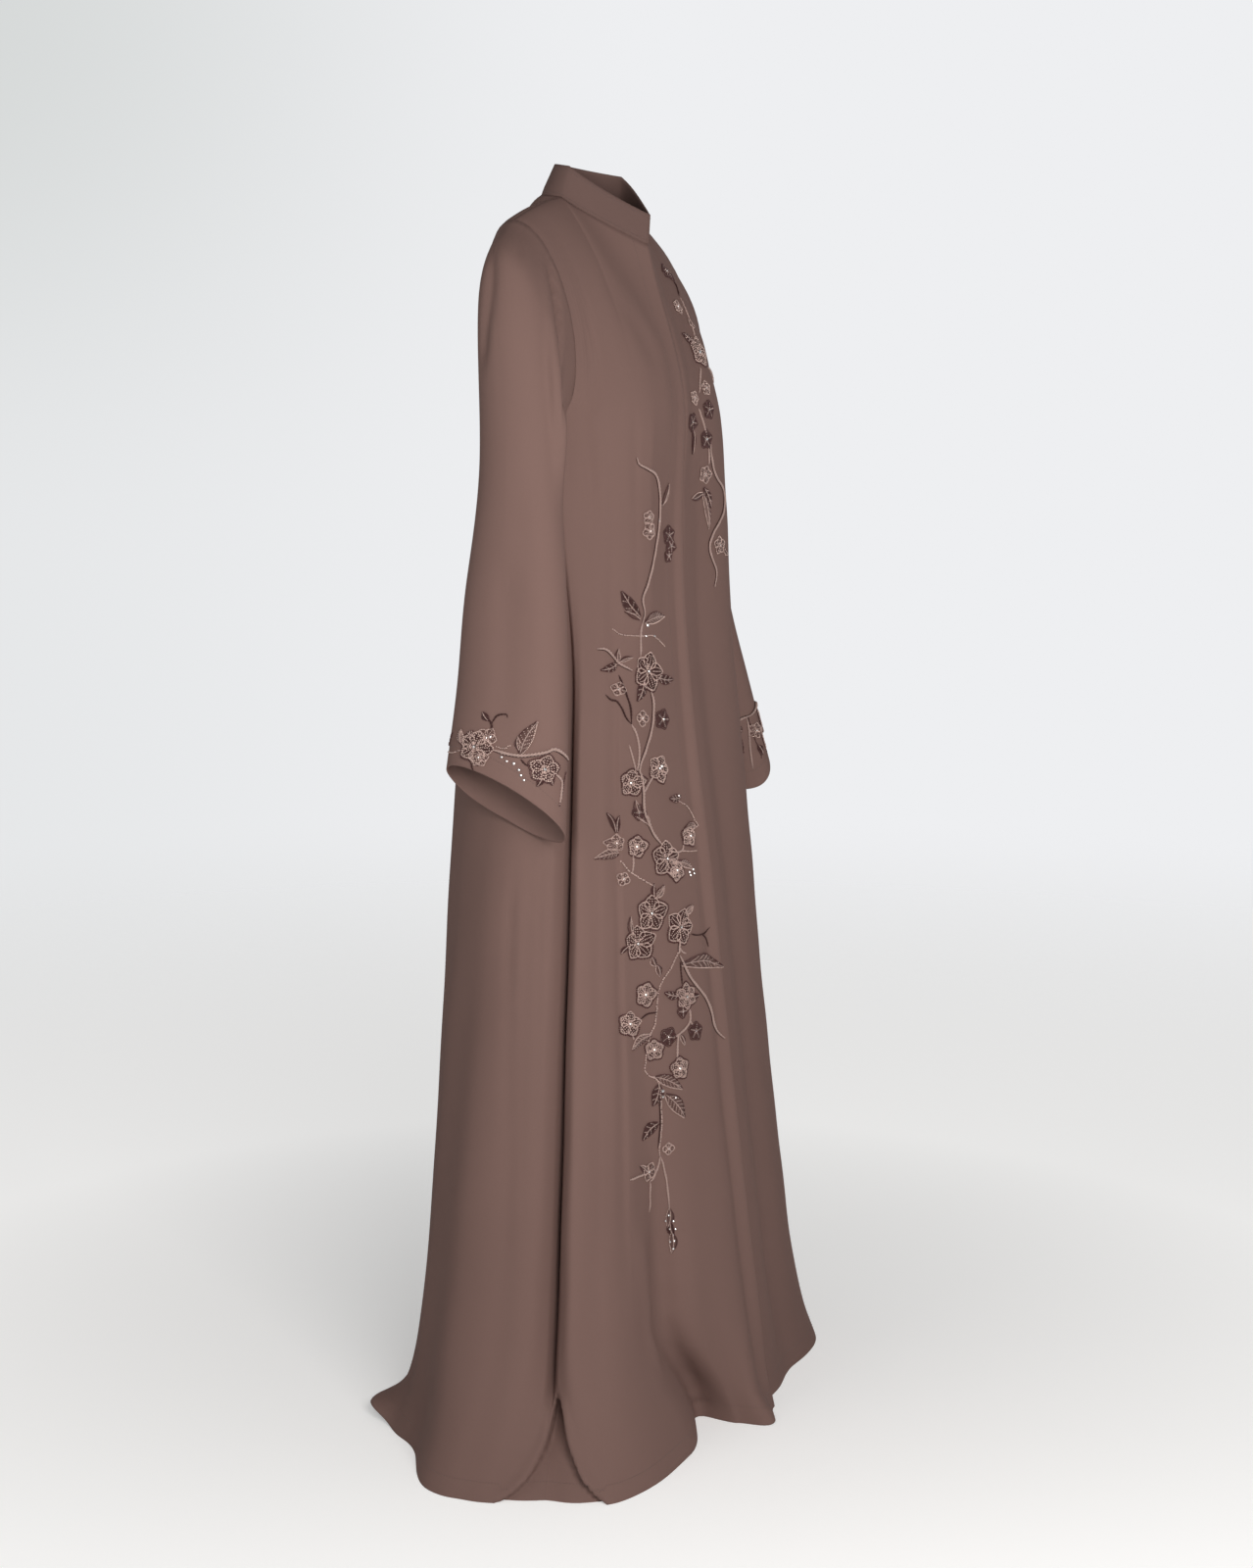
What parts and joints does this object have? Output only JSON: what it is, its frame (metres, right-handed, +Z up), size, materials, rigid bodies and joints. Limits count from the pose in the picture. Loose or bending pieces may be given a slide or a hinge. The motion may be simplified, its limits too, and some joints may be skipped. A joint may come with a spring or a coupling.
{
  "type": "abaya cloak",
  "caption": "Floor-length closed-front abaya cloak in soft crepe, with a stand collar, wide set-in sleeves and a flared skirt, in the hollow form it takes when worn.",
  "frame": {"origin": "where the wearer holds it up: the middle of the neck, at the height of the high shoulder points, 1.42 m above the floor that the hem reaches", "axes": "+Z up, -Y to the front, +X to the wearer's left"},
  "size_m": [0.7466, 0.4634, 1.4632],
  "materials": {
    "back_crepe": "plain matt crepe",
    "front_right_crepe": "plain matt crepe",
    "front_left_crepe": "plain matt crepe",
    "sleeve_right_crepe": "plain matt crepe",
    "sleeve_left_crepe": "plain matt crepe",
    "collar_crepe": "plain matt crepe"
  },
  "bodies": {
    "root": {"back": "back_crepe", "front_right": "front_right_crepe", "front_left": "front_left_crepe", "sleeve_right": "sleeve_right_crepe", "sleeve_left": "sleeve_left_crepe", "collar": "collar_crepe"}
  },
  "joints": []
}
